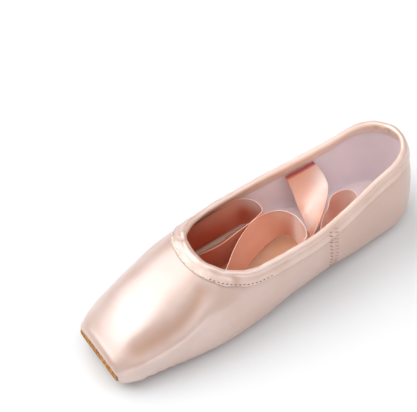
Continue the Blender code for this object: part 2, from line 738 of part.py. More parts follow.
def centre_on_floor(shoe, pieces):
    """Moves the shoe's empty so that the origin is under the middle of the whole shoe."""
    bpy.context.view_layer.update()
    graph = bpy.context.evaluated_depsgraph_get()
    corners = []
    for piece in pieces:
        mesh = piece.evaluated_get(graph).to_mesh()
        corners += [piece.matrix_world @ v.co for v in mesh.vertices]
    corners = np.array(corners)
    low, high = corners.min(axis=0), corners.max(axis=0)
    shoe.location = (-(low[0] + high[0]) / 2, -(low[1] + high[1]) / 2, 0)


def main():
    clear_scene()
    collection = bpy.data.collections.new("pointe_shoe")
    bpy.context.scene.collection.children.link(collection)
    shoe = bpy.data.objects.new("shoe", None)
    collection.objects.link(shoe)
    lines = wall_lines()
    pieces = [
        add_upper(shoe, lines),
        add_casing(shoe, lines),
        add_outsole(shoe),
        add_insole(shoe),
        add_toe_tip(shoe),
        add_ribbon("ribbon_far", shoe, FAR_RIBBON),
        add_ribbon("ribbon_near", shoe, NEAR_RIBBON),
    ]
    centre_on_floor(shoe, pieces)


main()
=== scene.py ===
"""Visual model of a satin pointe shoe that stands on a pale floor with its ribbons tucked inside.

Metres, +Z up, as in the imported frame: the toe points to -Y, the heel to +Y, and +X is the near
side. Each soft node of the frame is copied, made finer, given its folds and seams, and dressed.
"""

import logging
import math
from dataclasses import dataclass
from enum import Enum
from typing import Any

import bmesh
import bpy
import numpy as np
from bpy.types import Material, Mesh, Node, NodeSocket, Object
from mathutils import Matrix, Vector, noise
from mathutils.bvhtree import BVHTree

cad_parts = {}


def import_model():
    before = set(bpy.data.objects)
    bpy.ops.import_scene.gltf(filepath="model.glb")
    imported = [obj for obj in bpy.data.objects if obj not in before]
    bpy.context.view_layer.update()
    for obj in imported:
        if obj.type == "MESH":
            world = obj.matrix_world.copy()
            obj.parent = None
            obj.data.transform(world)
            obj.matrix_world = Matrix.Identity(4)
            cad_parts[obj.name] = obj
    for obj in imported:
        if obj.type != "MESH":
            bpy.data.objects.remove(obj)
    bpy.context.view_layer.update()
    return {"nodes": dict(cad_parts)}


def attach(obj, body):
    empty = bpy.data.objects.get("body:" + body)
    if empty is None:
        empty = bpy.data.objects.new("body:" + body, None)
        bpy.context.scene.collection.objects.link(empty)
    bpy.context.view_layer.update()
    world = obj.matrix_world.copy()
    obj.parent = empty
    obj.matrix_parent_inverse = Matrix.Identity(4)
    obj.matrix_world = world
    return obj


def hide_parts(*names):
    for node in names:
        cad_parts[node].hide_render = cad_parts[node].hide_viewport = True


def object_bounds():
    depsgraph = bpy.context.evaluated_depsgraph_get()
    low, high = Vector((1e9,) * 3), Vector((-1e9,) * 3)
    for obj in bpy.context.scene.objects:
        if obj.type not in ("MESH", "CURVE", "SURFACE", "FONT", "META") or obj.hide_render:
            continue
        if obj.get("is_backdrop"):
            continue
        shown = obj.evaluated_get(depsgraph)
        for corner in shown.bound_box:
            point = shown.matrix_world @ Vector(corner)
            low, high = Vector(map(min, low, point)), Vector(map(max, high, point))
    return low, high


LOG = logging.getLogger("pointe_shoe")
BODY = "root"

Array = np.ndarray
Colour = tuple[float, float, float]
Place = tuple[float, float, float]
Rows = tuple[Place, ...]
Spot = tuple[Vector, Vector, Vector]


class Side(Enum):
    """The two sides of the shoe, by the sign of X."""

    NEAR = 1
    FAR = -1


class Skin(Enum):
    """The two faces of the upper, by the number of their material."""

    SATIN = 0
    LINING = 1


# Shader tools


class Value:
    """A number's socket, used in Python expressions that add their Math nodes."""

    def __init__(self, shader: "Shader", socket: NodeSocket) -> None:
        """Wraps a socket of a shader's tree."""
        self.shader = shader
        self.socket = socket

    def math(self, operation: str, *others: Any) -> "Value":
        """Adds a Math node.

        Args:
            operation: The Math node's operation.
            others: Its other inputs, numbers or Values; None stands for this one.
        Returns:
            The node's result.
        """
        values = list(others) if None in others else [None, *others]
        inputs = {i: self if v is None else v for i, v in enumerate(values)}
        made = self.shader.node("ShaderNodeMath", {"operation": operation}, inputs)
        return Value(self.shader, made.outputs[0])

    def __add__(self, other: Any) -> "Value":
        """This plus the other."""
        return self.math("ADD", other)

    __radd__ = __add__

    def __sub__(self, other: Any) -> "Value":
        """This less the other."""
        return self.math("SUBTRACT", other)

    def __rsub__(self, other: Any) -> "Value":
        """The other less this."""
        return self.math("SUBTRACT", other, None)

    def __mul__(self, other: Any) -> "Value":
        """This times the other."""
        return self.math("MULTIPLY", other)

    __rmul__ = __mul__

    def spread(self, low: float, high: float, start: float = 0.0, end: float = 1.0) -> "Value":
        """This, taken from one range of numbers to another and held inside it.

        Args:
            low: The value that becomes start.
            high: The value that becomes end.
            start: The lowest result.
            end: The highest result.
        Returns:
            The mapped value.
        """
        inputs = {0: self, 1: low, 2: high, 3: start, 4: end}
        made = self.shader.node("ShaderNodeMapRange", {"clamp": True}, inputs)
        return Value(self.shader, made.outputs[0])


class Shader:
    """A material on a Principled shader, with methods that add its nodes."""

    def __init__(self, name: str) -> None:
        """Makes an empty material with its Principled shader."""
        self.material = bpy.data.materials.new(name)
        self.material.use_nodes = True
        self.tree = self.material.node_tree
        self.principled = self.tree.nodes["Principled BSDF"]
        self.places = self.node("ShaderNodeTexCoord").outputs["Object"]

    def node(self, kind: str, settings: dict | None = None, inputs: dict | None = None) -> Node:
        """Adds a node of any type.

        Args:
            kind: The node's type.
            settings: Its properties.
            inputs: Its sockets' values or links, by name or number.
        Returns:
            The new node.
        """
        made = self.tree.nodes.new(kind)
        for key, value in (settings or {}).items():
            setattr(made, key, value)
        for key, value in (inputs or {}).items():
            self.feed(made.inputs[key], value)
        return made

    def feed(self, socket: NodeSocket, value: Any) -> None:
        """Gives a socket a number, a colour, a Value or another socket's output."""
        if isinstance(value, (Value, NodeSocket)):
            self.tree.links.new(getattr(value, "socket", value), socket)
        elif isinstance(value, tuple) and len(value) == 3 and socket.type == "RGBA":
            socket.default_value = (*value, 1)
        else:
            socket.default_value = value

    def noise(
        self, scale: float, detail: float = 2.0, stretch: Colour = (1, 1, 1), over: Any = None
    ) -> Value:
        """Noise over the object's own space, or over another vector.

        Args:
            scale: Its cells per metre.
            detail: Its octaves.
            stretch: How much finer it is along each axis.
            over: The vector's socket, if it isn't the object's own space.
        Returns:
            A value from 0 to 1.
        """
        where = self.places if over is None else over
        placed = self.node("ShaderNodeMapping", None, {"Vector": where, "Scale": stretch})
        inputs = {"Vector": placed.outputs[0], "Scale": scale, "Detail": detail}
        return Value(self, self.node("ShaderNodeTexNoise", None, inputs).outputs[0])

    def weave(self, threads: float, weft_drop: float) -> Value:
        """Plain weave.

        Args:
            threads: Its threads per metre.
            weft_drop: How much finer the weft is from the floor up.
        Returns:
            A value from 0 to 1.
        """
        warp = self.noise(threads, 1.0, (1.0, 0.15, 1.0))
        return (warp + self.noise(threads, 1.0, (0.15, 1.0, weft_drop))) * 0.5

    def axis(self, number: int) -> Value:
        """The object's own X, Y or Z, by its number."""
        split = self.node("ShaderNodeSeparateXYZ", None, {0: self.places})
        return Value(self, split.outputs[number])

    def attribute(self, name: str) -> Value:
        """A number that the mesh keeps at each of its points."""
        made = self.node("ShaderNodeAttribute", {"attribute_name": name})
        return Value(self, made.outputs["Fac"])

    def mix(self, factor: Any, first: Any, second: Any) -> NodeSocket:
        """A mix of two colours.

        Args:
            factor: 0 for the first, 1 for the second.
            first: A colour or a colour socket.
            second: A colour or a colour socket.
        Returns:
            The mixed colour's socket.
        """
        inputs = {0: factor, 6: first, 7: second}
        return self.node("ShaderNodeMix", {"data_type": "RGBA"}, inputs).outputs[2]

    def bump(self, height: Value, distance: float, under: Any = None) -> NodeSocket:
        """A bump that feeds a normal.

        Args:
            height: The relief, from 0 to 1.
            distance: Its depth in metres.
            under: The normal of a coarser bump below it.
        Returns:
            The normal's socket.
        """
        inputs = {"Strength": 1.0, "Distance": distance, "Height": height, "Filter Width": 0.05}
        if under is not None:
            inputs["Normal"] = under
        return self.node("ShaderNodeBump", None, inputs).outputs[0]

    def finish(self, **sockets: Any) -> Material:
        """Feeds the Principled shader by socket name, with _ for a space.

        Args:
            sockets: Values, colours or links.
        Returns:
            The material.
        """
        for key, value in sockets.items():
            self.feed(self.principled.inputs[key.replace("_", " ")], value)
        return self.material


# Finishes


@dataclass(frozen=True)
class Finish:
    """What every finish has: a name, a colour and the shade that breaks it up."""

    name: str
    colour: Colour
    shade: Colour

    def mottled(
        self, shader: Shader, scale: float, detail: float, low: float = 0.3, high: float = 0.75
    ) -> NodeSocket:
        """The colour, broken up by clouds of the shade.

        Args:
            shader: The material's shader.
            scale: The clouds' cells per metre.
            detail: Their octaves.
            low: The noise below which there is no shade.
            high: The noise above which there is nothing else.
        Returns:
            The mixed colour's socket.
        """
        return shader.mix(shader.noise(scale, detail).spread(low, high), self.colour, self.shade)


@dataclass(frozen=True)
class Satin(Finish):
    """Satin with its long floats, soft sheen and faint unevenness, and painted light and shade in
    its colour.
    """

    # The colour reached towards the heel: painted shade on the upper's quarters, a painted warm
    # glow on the casing.
    heel: Colour
    # A painted glow: the lighter, warmer colour of the casing's inner face.
    inner: Colour = (0.86, 0.60, 0.46)
    toe_y: float = -0.085
    heel_y: float = 0.050
    roughness: float = 0.38
    coat_roughness: float = 0.34
    coat_ior: float = 2.4
    yarn: float = 4200.0
    uneven: float = 0.00025
    float_depth: float = 0.00005

    def material(self) -> Material:
        """The satin as a material."""
        shader = Shader(self.name)
        # Painted shade: how far the satin sinks into its folds, seams and pleats.
        painted_hollow_shade = shader.attribute("hollow_shade")
        # Painted light and shade: the colour runs from the toe colour to the heel colour along the
        # shoe.
        base = shader.mix(shader.axis(1).spread(self.toe_y, self.heel_y), self.colour, self.heel)
        base = shader.mix(shader.noise(34.0, 3.0).spread(0.35, 0.7, 0.0, 0.5), base, self.shade)
        # Painted glow: the casing's inner face takes the lighter, warmer inner colour.
        base = shader.mix(shader.attribute("inner"), base, self.inner)
        # Painted shade: the shade colour is mixed in where the satin sinks.
        base = shader.mix(painted_hollow_shade.spread(0.0, 1.0, 0.0, 0.95), base, self.shade)
        floats = shader.noise(self.yarn, 1.0, (1.0, 0.06, 1.0))
        soft = shader.bump(shader.noise(75.0, 2.0), self.uneven)
        normal = shader.bump(floats, self.float_depth, soft)
        smooth, dull = self.roughness - 0.06, self.roughness + 0.08
        rough = shader.noise(150.0, 3.0).spread(0.3, 0.7, smooth, dull)
        return shader.finish(
            Base_Color=base,
            Roughness=rough,
            Normal=normal,
            Metallic=0.05,
            Coat_Weight=1.0,
            Coat_IOR=self.coat_ior,
            Coat_Roughness=self.coat_roughness,
        )


@dataclass(frozen=True)
class RibbonSatin(Finish):
    """Ribbon satin, read along and across the ribbon, with its woven edges and with painted
    highlights, painted shade and painted shadow in its colour.
    """

    # The painted shadow colour of the ribbon's end under the casing.
    tuck: Colour
    # The painted highlight colour.
    pale: Colour
    # The painted shade colour, a deep red.
    deep: Colour
    roughness: float = 0.45
    half_width: float = 0.011
    edge: float = 0.0011

    def material(self) -> Material:
        """The ribbon satin as a material."""
        shader = Shader(self.name)
        along, across = shader.attribute("along"), shader.attribute("across")
        cloth = shader.node("ShaderNodeCombineXYZ", None, {0: along * 0.08, 1: across}).outputs[0]
        floats = shader.noise(4200.0, 1.0, (1, 1, 1), cloth)
        centre = (across - self.half_width).math("ABSOLUTE")
        woven = centre.spread(self.half_width - self.edge, self.half_width - self.edge * 0.6)
        base = self.mottled(shader, 60.0, 3.0, 0.35, 0.7)
        base = shader.mix(woven * 0.35, base, self.shade)
        # Painted highlight: pale patches where the satin would shine.
        base = shader.mix(shader.attribute("painted_highlight"), base, self.pale)
        # Painted shade: deep red where the ribbons lie in shadow.
        base = shader.mix(shader.attribute("depth"), base, self.deep)
        # Painted shadow where the ribbon's end runs under the casing.
        base = shader.mix(shader.attribute("tuck"), base, self.tuck)
        soft = shader.bump(shader.noise(70.0, 2.0), 0.00025)
        edges = shader.bump(woven, 0.00012, soft)
        normal = shader.bump(floats, 0.00008, edges)
        return shader.finish(
            Base_Color=base,
            Roughness=self.roughness,
            Normal=normal,
            Metallic=0.15,
            IOR=1.7,
            Coat_Weight=0.7,
            Coat_IOR=1.8,
            Coat_Roughness=0.30,
        )


@dataclass(frozen=True)
class Lining(Finish):
    """Plain-woven cotton, matt, with a visible weave."""

    toe: Colour
    toe_y: float = 0.004
    thread: float = 1500.0

    def material(self) -> Material:
        """The lining as a material."""
        shader = Shader(self.name)
        weave = shader.weave(self.thread, 0.15)
        along = shader.axis(1)
        low = shader.axis(2).spread(0.0125, 0.0105) * along.spread(0.036, 0.026)
        box = along.spread(self.toe_y, self.toe_y - 0.012).math("MAXIMUM", low)
        base = shader.mix(box, self.mottled(shader, 40.0, 4.0), self.toe)
        base = shader.mix(weave.spread(0.3, 0.7, 0.0, 0.18), base, self.shade)
        normal = shader.bump(weave, 0.00012, shader.bump(shader.noise(90.0, 2.0), 0.0003))
        return shader.finish(
            Base_Color=base, Roughness=0.85, Normal=normal, Sheen_Weight=0.15, Sheen_Roughness=0.6
        )


@dataclass(frozen=True)
class Sock(Finish):
    """The insole's cloth: warm under the ball and arch, lining cotton on the heel seat."""

    heel: Colour
    heel_y: float = 0.040
    slant: float = -0.25
    step: float = 0.0002
    thread: float = 1500.0

    def material(self) -> Material:
        """The insole's cloth as a material."""
        shader = Shader(self.name)
        along = shader.axis(1) + shader.axis(0) * self.slant
        seat = along.spread(self.heel_y - self.step, self.heel_y + self.step)
        weave = shader.weave(self.thread, 1.0)
        base = shader.mix(seat, self.mottled(shader, 45.0, 4.0), self.heel)
        base = shader.mix(weave.spread(0.3, 0.7, 0.0, 0.15), base, self.shade)
        normal = shader.bump(weave, 0.0001, shader.bump(seat, 0.0006))
        return shader.finish(
            Base_Color=base, Roughness=0.6, Normal=normal, Coat_Weight=0.15, Coat_Roughness=0.4
        )


@dataclass(frozen=True)
class Leather(Finish):
    """Smooth sole leather with pores, a faint grain and scuffs."""

    def material(self) -> Material:
        """The leather as a material."""
        shader = Shader(self.name)
        grain = shader.noise(900.0, 4.0)
        scuff = shader.noise(220.0, 3.0, (1.0, 0.08, 1.0)).spread(0.56, 0.72)
        base = self.mottled(shader, 60.0, 5.0, 0.3, 0.7)
        base = shader.mix(scuff * 0.45, base, self.shade)
        rough = 0.5 + grain * 0.2 + scuff * 0.12
        normal = shader.bump(grain, 0.00015, shader.bump(shader.noise(60.0, 5.0), 0.0003))
        return shader.finish(Base_Color=base, Roughness=rough, Normal=normal)


@dataclass(frozen=True)
class Suede(Finish):
    """Brushed suede: a speckled nap, darker where it is pressed."""

    nap: float = 760.0

    def material(self) -> Material:
        """The suede as a material."""
        shader = Shader(self.name)
        speck = shader.noise(self.nap, 3.0).spread(0.38, 0.62)
        cloud = shader.noise(260.0, 3.0).spread(0.35, 0.7)
        base = shader.mix(speck, self.shade, self.colour)
        base = shader.mix(cloud * 0.4, base, self.shade)
        normal = shader.bump(speck, 0.0003)
        return shader.finish(
            Base_Color=base, Roughness=0.95, Normal=normal, Specular_IOR_Level=0.15
        )


@dataclass(frozen=True)
class Plain(Finish):
    """A small part's finish: thread, a needle hole or the floor."""

    roughness: float = 0.9
    grain: float = 900.0

    def material(self) -> Material:
        """The finish as a material."""
        shader = Shader(self.name)
        base = self.mottled(shader, self.grain, 2.0, 0.0, 1.0)
        return shader.finish(Base_Color=base, Roughness=self.roughness)


@dataclass(frozen=True)
class Palette:
    """Every finish of the shoe."""

    # For each satin: its colour, its shade colour (random mottle and painted shade in its hollows)
    # and its heel colour (painted shade on the upper's quarters, a painted warm glow on the
    # casing's heel).
    satin: Satin = Satin("satin", (0.62, 0.455, 0.405), (0.46, 0.24, 0.15), (0.53, 0.325, 0.255))
    casing: Satin = Satin(
        "casing_satin", (0.63, 0.465, 0.41), (0.46, 0.24, 0.15), (0.70, 0.47, 0.385)
    )
    # The ribbon's colour and mottle shade, then its painted shadow under the casing, its painted
    # highlight and its painted shade.
    ribbon: RibbonSatin = RibbonSatin(
        "ribbon_satin",
        (0.84, 0.43, 0.31),
        (0.80, 0.36, 0.24),
        (0.42, 0.016, 0.006),
        (1.00, 0.83, 0.75),
        (0.58, 0.07, 0.02),
    )
    lining: Lining = Lining(
        "lining_cotton", (0.92, 0.83, 0.85), (0.85, 0.74, 0.79), (0.78, 0.50, 0.37)
    )
    insole: Sock = Sock(
        "insole_cloth", (0.62, 0.34, 0.225), (0.54, 0.28, 0.165), (0.92, 0.83, 0.85)
    )
    leather: Leather = Leather("sole_leather", (0.60, 0.37, 0.20), (0.42, 0.24, 0.12))
    suede: Suede = Suede("toe_suede", (0.85, 0.42, 0.14), (0.24, 0.08, 0.02))
    thread: Plain = Plain("seam_thread", (0.95, 0.84, 0.70), (0.86, 0.70, 0.54), 0.5)
    # Painted shade: the dark of the needle holes.
    hole: Plain = Plain("needle_hole", (0.20, 0.08, 0.05), (0.12, 0.05, 0.04))
    red: Plain = Plain("lining_red", (0.34, 0.05, 0.03), (0.26, 0.03, 0.02), 0.8)
    rose: Plain = Plain("seam_rose", (0.56, 0.38, 0.34), (0.44, 0.27, 0.25), 0.8)
    # Partly painted shade: the dark of the seam's sunken stitch marks.
    mauve: Plain = Plain("seam_mauve", (0.42, 0.25, 0.23), (0.32, 0.17, 0.16))
    floor: Plain = Plain("pale_floor", (0.76, 0.77, 0.78), (0.75, 0.76, 0.77), grain=4.0)


# Mesh tools


def linked(name: str, data: Any) -> Object:
    """A new object for its data, in the scene."""
    made = bpy.data.objects.new(name, data)
    bpy.context.scene.collection.objects.link(made)
    return made


def deselect() -> None:
    """Leaves object mode with nothing selected."""
    if bpy.context.mode != "OBJECT":
        bpy.ops.object.mode_set(mode="OBJECT")
    bpy.ops.object.select_all(action="DESELECT")


def pick(piece: Object) -> None:
    """Selects one piece alone and makes it active."""
    deselect()
    piece.select_set(True)
    bpy.context.view_layer.objects.active = piece


def edit_all() -> None:
    """Enters edit mode with everything selected."""
    bpy.ops.object.mode_set(mode="EDIT")
    bpy.ops.mesh.select_all(action="SELECT")


def piece_of(name: str, points: list, faces: list, finish: Finish) -> Object:
    """A new piece, selected.

    Args:
        name: The piece's name.
        points: Its places.
        faces: Its faces, as numbers of points.
        finish: Its finish.
    Returns:
        The piece.
    """
    mesh = bpy.data.meshes.new(name)
    mesh.from_pydata(points, [], faces)
    mesh.materials.append(finish.material())
    piece = linked(name, mesh)
    pick(piece)
    return piece


def places(mesh: Mesh) -> Array:
    """The mesh's points as rows."""
    flat = np.zeros(len(mesh.vertices) * 3)
    mesh.vertices.foreach_get("co", flat)
    return flat.reshape(-1, 3)


def normals(mesh: Mesh) -> Array:
    """The mesh's point normals as rows."""
    flat = np.zeros(len(mesh.vertices) * 3)
    mesh.vertices.foreach_get("normal", flat)
    return flat.reshape(-1, 3)


def move_to(mesh: Mesh, points: Array) -> None:
    """Puts the mesh's points at new places."""
    mesh.vertices.foreach_set("co", points.astype(np.float32).ravel())
    mesh.update()


def eased(share: Array | float) -> Array:
    """0 below 0, 1 above 1, and a smooth step between."""
    share = np.clip(share, 0, 1)
    return share * share * (3 - 2 * share)


def clouds(points: Array, scale: float, seed: float = 0.0) -> Array:
    """Smooth noise at points, from -1 to 1, with scale cells per metre."""
    return np.array([noise.noise(Vector(p * scale) + Vector((seed, seed, seed))) for p in points])


def arc_of(line: Array) -> Array:
    """How far along a line each of its corners lies."""
    return np.concatenate([[0], np.cumsum(np.linalg.norm(np.diff(line, axis=0), axis=1))])


def surface_of(*meshes: Mesh) -> BVHTree:
    """The surface of meshes together, for finding places on it."""
    points: list[Vector] = []
    faces: list[tuple[int, ...]] = []
    for mesh in meshes:
        start = len(points)
        points += [v.co.copy() for v in mesh.vertices]
        faces += [tuple(start + i for i in face.vertices) for face in mesh.polygons]
    return BVHTree.FromPolygons(points, faces)


def line_distance(points: Array, line: Array) -> tuple[Array, Array]:
    """Distance of points from a polyline.

    Args:
        points: Rows of places.
        line: The polyline's corners.
    Returns:
        The distance of each point, and how far along the line it lies, from 0 to 1.
    """
    nearest = np.full(len(points), 1e9)
    along = np.zeros(len(points))
    for i, (start, end) in enumerate(zip(line, line[1:])):
        way = end - start
        share = np.clip((points - start) @ way / (way @ way), 0, 1)
        gap = np.linalg.norm(points - start - share[:, None] * way, axis=1)
        closer = gap < nearest
        nearest[closer] = gap[closer]
        along[closer] = (i + share[closer]) / (len(line) - 1)
    return nearest, along


def working_copy(node: Object, name: str) -> Object:
    """A copy of a node, merged into quads and ready to be made finer.

    Args:
        node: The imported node.
        name: The new piece's name.
    Returns:
        The new piece.
    """
    piece = linked(name, node.data.copy())
    pick(piece)
    if piece.data.has_custom_normals:
        bpy.ops.mesh.customdata_custom_splitnormals_clear()
    edit_all()
    bpy.ops.mesh.remove_doubles(threshold=0.000002)
    bpy.ops.mesh.tris_convert_to_quads(
        face_threshold=math.radians(50), shape_threshold=math.radians(60)
    )
    bpy.ops.mesh.mark_sharp(clear=True)
    bpy.ops.object.mode_set(mode="OBJECT")
    piece.data.materials.clear()
    return piece


def finer(piece: Object, levels: int, hard: float = 60.0) -> None:
    """Subdivides a piece smoothly and keeps its hard edges.

    Args:
        piece: The piece.
        levels: How often each face is cut in four.
        hard: The least angle of an edge that stays, in degrees.
    """
    shape = bmesh.new()
    shape.from_mesh(piece.data)
    layers = shape.edges.layers.float
    layer = layers.get("crease_edge") or layers.new("crease_edge")
    for edge in shape.edges:
        bent = len(edge.link_faces) == 2 and edge.calc_face_angle() > math.radians(hard)
        edge[layer] = 1.0 if bent else 0.0
    shape.to_mesh(piece.data)
    shape.free()
    pick(piece)
    modifier = piece.modifiers.new("finer", "SUBSURF")
    modifier.levels = levels
    modifier.render_levels = levels
    bpy.ops.object.modifier_apply(modifier=modifier.name)
    bpy.ops.object.shade_smooth()


def keep_number(mesh: Mesh, name: str, values: Array) -> None:
    """Stores a number at each point for the materials to read."""
    mesh.attributes.new(name, "FLOAT", "POINT").data.foreach_set("value", values.astype(np.float32))


def settle(piece: Object, slot: str, *nodes: str) -> None:
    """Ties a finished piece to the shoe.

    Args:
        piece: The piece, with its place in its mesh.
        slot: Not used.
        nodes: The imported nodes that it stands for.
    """
    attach(piece, BODY)
    if nodes:
        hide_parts(*nodes)
    LOG.info("%s: %d faces", piece.name, len(piece.data.polygons))


# The shoe's own measures


@dataclass
class Measures:
    """The sizes that the folds and seams are placed by."""

    length: float = 0.230
    half_ball: float = 0.039
    instep: float = 0.0485
    toe_y: float = -0.1141
    side_seam: float = 0.652
    seam_lean: float = 0.06
    seam_middle: float = 0.025
    seat_y: float = 0.0886

    def share(self, y: Array) -> Array:
        """Stations along the shoe as shares of its length, from the toe."""
        return (y - self.toe_y) / self.length

    def seam_at(self, height: Any) -> Any:
        """How far along the shoe a side seam lies, at heights in metres."""
        lean = self.seam_lean * (height - self.seam_middle)
        return self.toe_y + self.side_seam * self.length + lean

    def point(self, station: float, across: float, height: float) -> Array:
        """A place from its shares of the length, of half of the ball's width and of the instep."""
        x = across * self.half_ball
        return np.array([x, self.toe_y + station * self.length, height * self.instep])


@dataclass(frozen=True)
class Fold:
    """A soft trough or ridge along a line of the upper's surface."""

    rows: Rows
    rise: float
    width: float
    soft_ends: float = 0.25

    def offset(self, points: Array, line: Array) -> Array:
        """How far the fold lifts points off the surface.

        Args:
            points: The places.
            line: The fold's line on the surface.
        Returns:
            The lift of each point, in metres.
        """
        gap, along = line_distance(points, line)
        ends = eased(along / self.soft_ends) * eased((1 - along) / self.soft_ends)
        return self.rise * np.exp(-((gap / self.width) ** 2)) * ends


BOX_FOLDS = (
    Fold(
        (
            (0.300, 0.50, 0.97), (0.257, 0.62, 0.86), (0.221, 0.69, 0.78), (0.181, 0.72, 0.70),
            (0.129, 0.69, 0.63), (0.083, 0.63, 0.56), (0.033, 0.58, 0.46),
        ),
        -0.0010, 0.0055, 0.12,
    ),
    Fold(
        (
            (0.300, 0.68, 0.88), (0.263, 0.80, 0.75), (0.233, 0.84, 0.66), (0.194, 0.86, 0.57),
            (0.146, 0.85, 0.49), (0.101, 0.81, 0.43), (0.048, 0.73, 0.38), (0.015, 0.67, 0.32),
        ),
        0.0010, 0.0042, 0.22,
    ),
    Fold(
        (
            (0.300, -0.64, 0.90), (0.255, -0.76, 0.78), (0.200, -0.82, 0.66), (0.122, -0.75, 0.56),
            (0.060, -0.68, 0.47),
        ),
        -0.0008, 0.0060,
    ),
    Fold(
        (
            (0.680, 0.78, 0.82), (0.735, 0.735, 0.80), (0.799, 0.675, 0.83), (0.859, 0.63, 0.88),
            (0.900, 0.56, 0.98),
        ),
        0.0006, 0.0040,
    ),
)


# Sub-assemblies


@dataclass
class Upper:
    """Satin over the box and the quarters, with its lining."""

    measures: Measures
    palette: Palette
    levels: int = 2
    pleats: int = 30
    pleat_depth: float = 0.0008
    pleat_pole: float = 0.16
    pleat_top: float = 0.0105
    lip: float = 0.0012
    lip_behind: float = 0.0042
    lip_from: float = 0.97
    tip_corner: float = 2.6
    seam_depth: float = 0.0005
    seam_width: float = 0.0009
    back_seam_x: float = -0.0015
    back_seam: float = 0.6
    rumple: float = 0.00022
    rumples: float = 45.0
    deep: float = 0.0012
    core_heights: tuple[float, float] = (0.010, 0.020)
    core_rises_to: float = 0.3
    core_from_y: float = -0.085
    folds: tuple[Fold, ...] = BOX_FOLDS

    def build(self, node: Object, tip: Array) -> Object:
        """Makes the upper.

        Args:
            node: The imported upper.
            tip: The places of the suede tip, which the satin's edge is turned over to meet.
        Returns:
            The finished piece.
        """
        self.tip = tip
        piece = working_copy(node, "upper_satin")
        piece.data.materials.append(self.palette.satin.material())
        piece.data.materials.append(self.palette.lining.material())
        self.part_lining(piece.data)
        finer(piece, self.levels)
        self.shape(piece.data)
        settle(piece, "satin", "upper")
        return piece

    def part_lining(self, mesh: Mesh) -> None:
        """Gives the faces that look towards the shoe's core line the lining's material."""
        for face in mesh.polygons:
            share = self.measures.share(face.center.y)
            height = np.interp(share, (0, self.core_rises_to), self.core_heights)
            along = np.clip(face.center.y, self.core_from_y, self.measures.seat_y - 0.010)
            outwards = (face.center - Vector((0, along, height))).dot(face.normal) > 0
            face.material_index = (Skin.SATIN if outwards else Skin.LINING).value

    def outer(self, mesh: Mesh) -> Array:
        """1 for points of the satin, 0 for those of the lining."""
        mask = np.ones(len(mesh.vertices))
        for face in mesh.polygons:
            if face.material_index == Skin.LINING.value:
                mask[list(face.vertices)] = 0
        return mask

    def snapped(self, rows: Rows, tree: BVHTree) -> Array:
        """A line of shares, put on the surface."""
        found = [tree.find_nearest(Vector(self.measures.point(*row)))[0] for row in rows]
        return np.array(found)

    def shape(self, mesh: Mesh) -> None:
        """Moves the satin's points into its folds, seams and pleats, and notes its hollows for
        painted shade.
        """
        points, out = places(mesh), normals(mesh)
        tree = surface_of(mesh)
        lift = np.zeros(len(points))
        for fold in self.folds:
            lift += fold.offset(points, self.snapped(fold.rows, tree))
        lift += self.rumple * clouds(points, self.rumples)
        lift += self.seams(points) + self.toe_pleats(points)
        mask = self.outer(mesh)
        # Painted shade: the satin's sink below its surface, for darkening its hollows.
        keep_number(mesh, "hollow_shade", np.clip(-lift * mask / self.deep, 0, 1))
        points = points + out * (lift * mask)[:, None]
        points[:, 1] -= self.turned_edge(points) * mask
        move_to(mesh, points)

    def turned_edge(self, points: Array) -> Array:
        """How far the satin stands out round the suede tip, towards the toe."""
        low, high = self.tip.min(axis=0), self.tip.max(axis=0)
        shares = np.abs((points - (high + low) / 2)[:, (0, 2)]) / ((high - low) / 2)[[0, 2]]
        round_tip = (shares**self.tip_corner).sum(axis=1) ** (1 / self.tip_corner)
        near_end = eased((self.measures.toe_y + self.lip_behind - points[:, 1]) / 0.0036)
        return self.lip * near_end * eased((round_tip - self.lip_from) / 0.05)

    def seams(self, points: Array) -> Array:
        """The grooves of the two side seams and of the back seam."""
        from_seam = points[:, 1] - self.measures.seam_at(points[:, 2])
        side = np.exp(-((from_seam / self.seam_width) ** 2))
        behind = eased((points[:, 1] - self.measures.seat_y) / 0.010)
        back = np.exp(-(((points[:, 0] - self.back_seam_x) / self.seam_width) ** 2)) * behind
        return -self.seam_depth * (side + self.back_seam * back)

    def toe_pleats(self, points: Array) -> Array:
        """The pleats that gather the satin under the toe."""
        pole_y = self.measures.toe_y + self.pleat_pole * self.measures.length
        angle = np.arctan2(points[:, 0], pole_y - points[:, 1])
        wave = 0.5 - 0.5 * np.cos(angle * self.pleats + 1.5 * np.sin(angle * 5))
        low = eased((self.pleat_top - points[:, 2]) / 0.006)
        front = eased((pole_y + 0.012 - points[:, 1]) / 0.020)
        return -self.pleat_depth * wave * low * front


